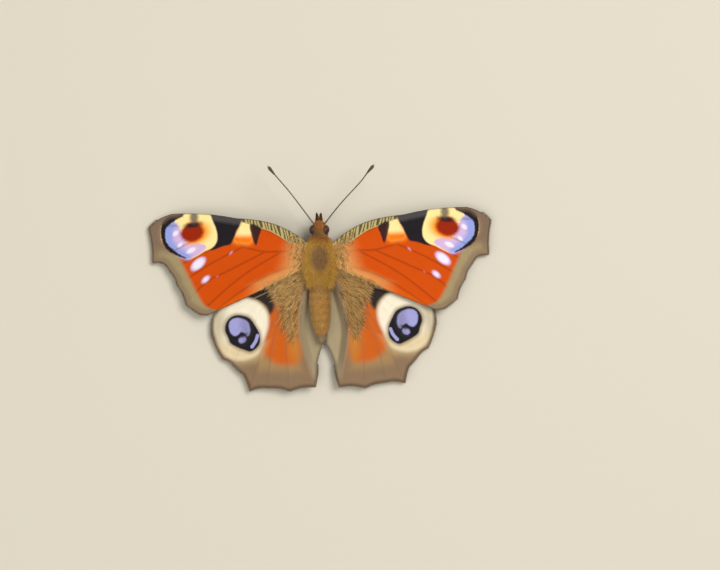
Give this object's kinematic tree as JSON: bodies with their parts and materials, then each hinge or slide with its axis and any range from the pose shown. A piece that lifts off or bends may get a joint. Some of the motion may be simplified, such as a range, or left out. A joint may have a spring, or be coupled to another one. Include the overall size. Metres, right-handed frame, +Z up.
{
  "type": "peacock butterfly",
  "caption": "Still, life-size butterfly, basking with its wings spread flat, standing on its feet on a level floor.",
  "frame": {"origin": "on the floor, under the middle of the whole outline", "axes": "+Z up, -Y towards the head, +X towards the animal's left"},
  "size_m": [0.064, 0.0424, 0.0088],
  "materials": {
    "forewing": "matt wing scales: brick red with a black, cream and lilac eyespot and a brown border",
    "hindwing": "matt wing scales: cream ring round a black and violet-blue eyespot, orange field and brown border",
    "fur_thorax": "soft olive-brown fur over cuticle",
    "fur_abdomen": "short golden-brown fur in faint rings",
    "feeler": "dark ringed feeler with a black club and pale tip",
    "cuticle": "dark brown chitin with short bristles",
    "eye": "dark brown compound eye, finely faceted"
  },
  "bodies": {
    "root": {"head": "fur_thorax", "eye_left": "eye", "eye_right": "eye", "palp_left": "fur_thorax", "palp_right": "fur_thorax", "antenna_left": "feeler", "antenna_right": "feeler", "tongue": "cuticle", "thorax": "fur_thorax", "abdomen": "fur_abdomen", "forewing_left": "forewing", "forewing_right": "forewing", "hindwing_left": "hindwing", "hindwing_right": "hindwing", "leg_fore_left": "cuticle", "leg_fore_right": "cuticle", "leg_mid_left": "cuticle", "leg_mid_right": "cuticle", "leg_hind_left": "cuticle", "leg_hind_right": "cuticle"}
  },
  "joints": []
}
